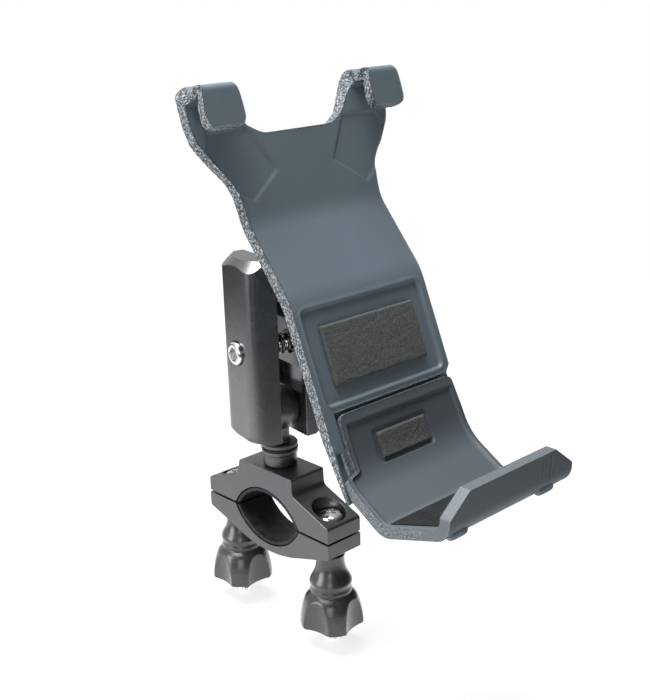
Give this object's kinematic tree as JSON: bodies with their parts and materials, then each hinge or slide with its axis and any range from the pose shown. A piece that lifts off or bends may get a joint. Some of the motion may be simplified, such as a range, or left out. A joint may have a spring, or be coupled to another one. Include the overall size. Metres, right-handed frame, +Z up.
{
  "type": "phone handlebar mount",
  "caption": "Handlebar phone mount: split clamp with star knobs, double-ball arm with a cap screw, and a bent cradle with hooks and a sprung lower jaw.",
  "frame": {"origin": "centre of the handlebar bore, on the bar's axis at the middle of the clamp's width", "axes": "+X runs along the handlebar, -Y faces the rider, +Z is up along the ball stud; right-handed, metres"},
  "size_m": [0.0868, 0.1463, 0.208],
  "materials": {
    "anodised": "satin black anodised",
    "chrome": "bright plated steel",
    "steel": "zinc-plated steel",
    "brass": "turned brass",
    "rubber": "black moulded rubber",
    "knob": "satin black moulded plastic",
    "nylon": "fine-grained blue-grey moulded nylon",
    "foam": "charcoal speckled foam rubber"
  },
  "bodies": {
    "clamp": {"clamp_upper": "anodised", "liner_upper": "rubber", "clamp_bolt_front": "chrome", "clamp_bolt_rear": "chrome"},
    "clamp_foot": {"clamp_lower": "anodised", "liner_lower": "rubber"},
    "knob_front": {"star_knob_front": "knob", "knob_insert_front": "brass"},
    "knob_rear": {"star_knob_rear": "knob", "knob_insert_rear": "brass"},
    "stud": {"ball_stud": "anodised", "stud_ring": "rubber"},
    "arm": {"arm_half_left": "anodised", "arm_spring": "steel"},
    "arm_screw": {"arm_bolt": "chrome"},
    "arm_far_half": {"arm_half_right": "anodised", "arm_nut": "steel"},
    "cradle_stud": {"cradle_ball_stud": "anodised"},
    "cradle": {"cradle_plate": "nylon", "cradle_base": "anodised", "base_screw_1": "steel", "base_screw_2": "steel", "base_screw_3": "steel", "base_screw_4": "steel", "panel_pad": "foam", "back_cover": "nylon", "cover_screw_1": "steel", "cover_screw_2": "steel", "cover_screw_3": "steel", "cover_screw_4": "steel", "jaw_spring_left": "steel", "jaw_spring_right": "steel"},
    "jaw": {"jaw": "nylon", "jaw_pad": "foam", "jaw_floor_mat": "rubber", "guide_rod_left": "steel", "guide_rod_right": "steel", "rod_clip_left": "steel", "rod_clip_right": "steel"}
  },
  "joints": [
    {"name": "foot_drop", "type": "slide", "parent": "clamp", "child": "clamp_foot", "axis": [0, 0, -1], "range_m": [0, 0.008]},
    {"name": "knob_front_turn", "type": "hinge", "parent": "clamp_foot", "child": "knob_front", "pos_m": [0, -0.0262, 0], "axis": [0, 0, -1], "range_deg": [0, 2880]},
    {"name": "knob_rear_turn", "type": "hinge", "parent": "clamp_foot", "child": "knob_rear", "pos_m": [0, 0.0262, 0], "axis": [0, 0, -1], "range_deg": [0, 2880]},
    {"name": "stud_turn", "type": "hinge", "parent": "clamp", "child": "stud", "pos_m": [0, 0, 0.0421], "axis": [0, 0, 1], "continuous": true},
    {"name": "arm_tilt", "type": "hinge", "parent": "stud", "child": "arm", "pos_m": [0, 0, 0.0421], "axis": [0.9903, -0.1392, 0], "range_deg": [-20, 20]},
    {"name": "arm_screw_turn", "type": "hinge", "parent": "arm", "child": "arm_screw", "pos_m": [0, 0, 0.0667], "axis": [-0.9903, 0.1392, 0], "range_deg": [0, 720]},
    {"name": "arm_open", "type": "slide", "parent": "arm", "child": "arm_far_half", "axis": [0.9903, -0.1392, 0], "range_m": [0, 0.0016]},
    {"name": "cradle_tilt", "type": "hinge", "parent": "arm", "child": "cradle_stud", "pos_m": [0, 0, 0.0913], "axis": [0.9903, -0.1392, 0], "range_deg": [-25, 12]},
    {"name": "cradle_turn", "type": "hinge", "parent": "cradle_stud", "child": "cradle", "pos_m": [0, 0, 0.0913], "axis": [0, -0.7749, 0.632], "continuous": true},
    {"name": "jaw_pull", "type": "slide", "parent": "cradle", "child": "jaw", "axis": [0, -0.3795, -0.9252], "range_m": [0, 0.015], "stiffness_N_per_m": 400, "springref_m": -0.01, "deforming": ["jaw_spring_left", "jaw_spring_right"]}
  ],
  "couplings": [
    {"joint": "knob_front_turn", "follows": "foot_drop", "rad_per_m": 6283.1},
    {"joint": "knob_rear_turn", "follows": "foot_drop", "rad_per_m": 6283.1},
    {"joint": "arm_screw_turn", "follows": "arm_open", "rad_per_m": 7853.9}
  ]
}
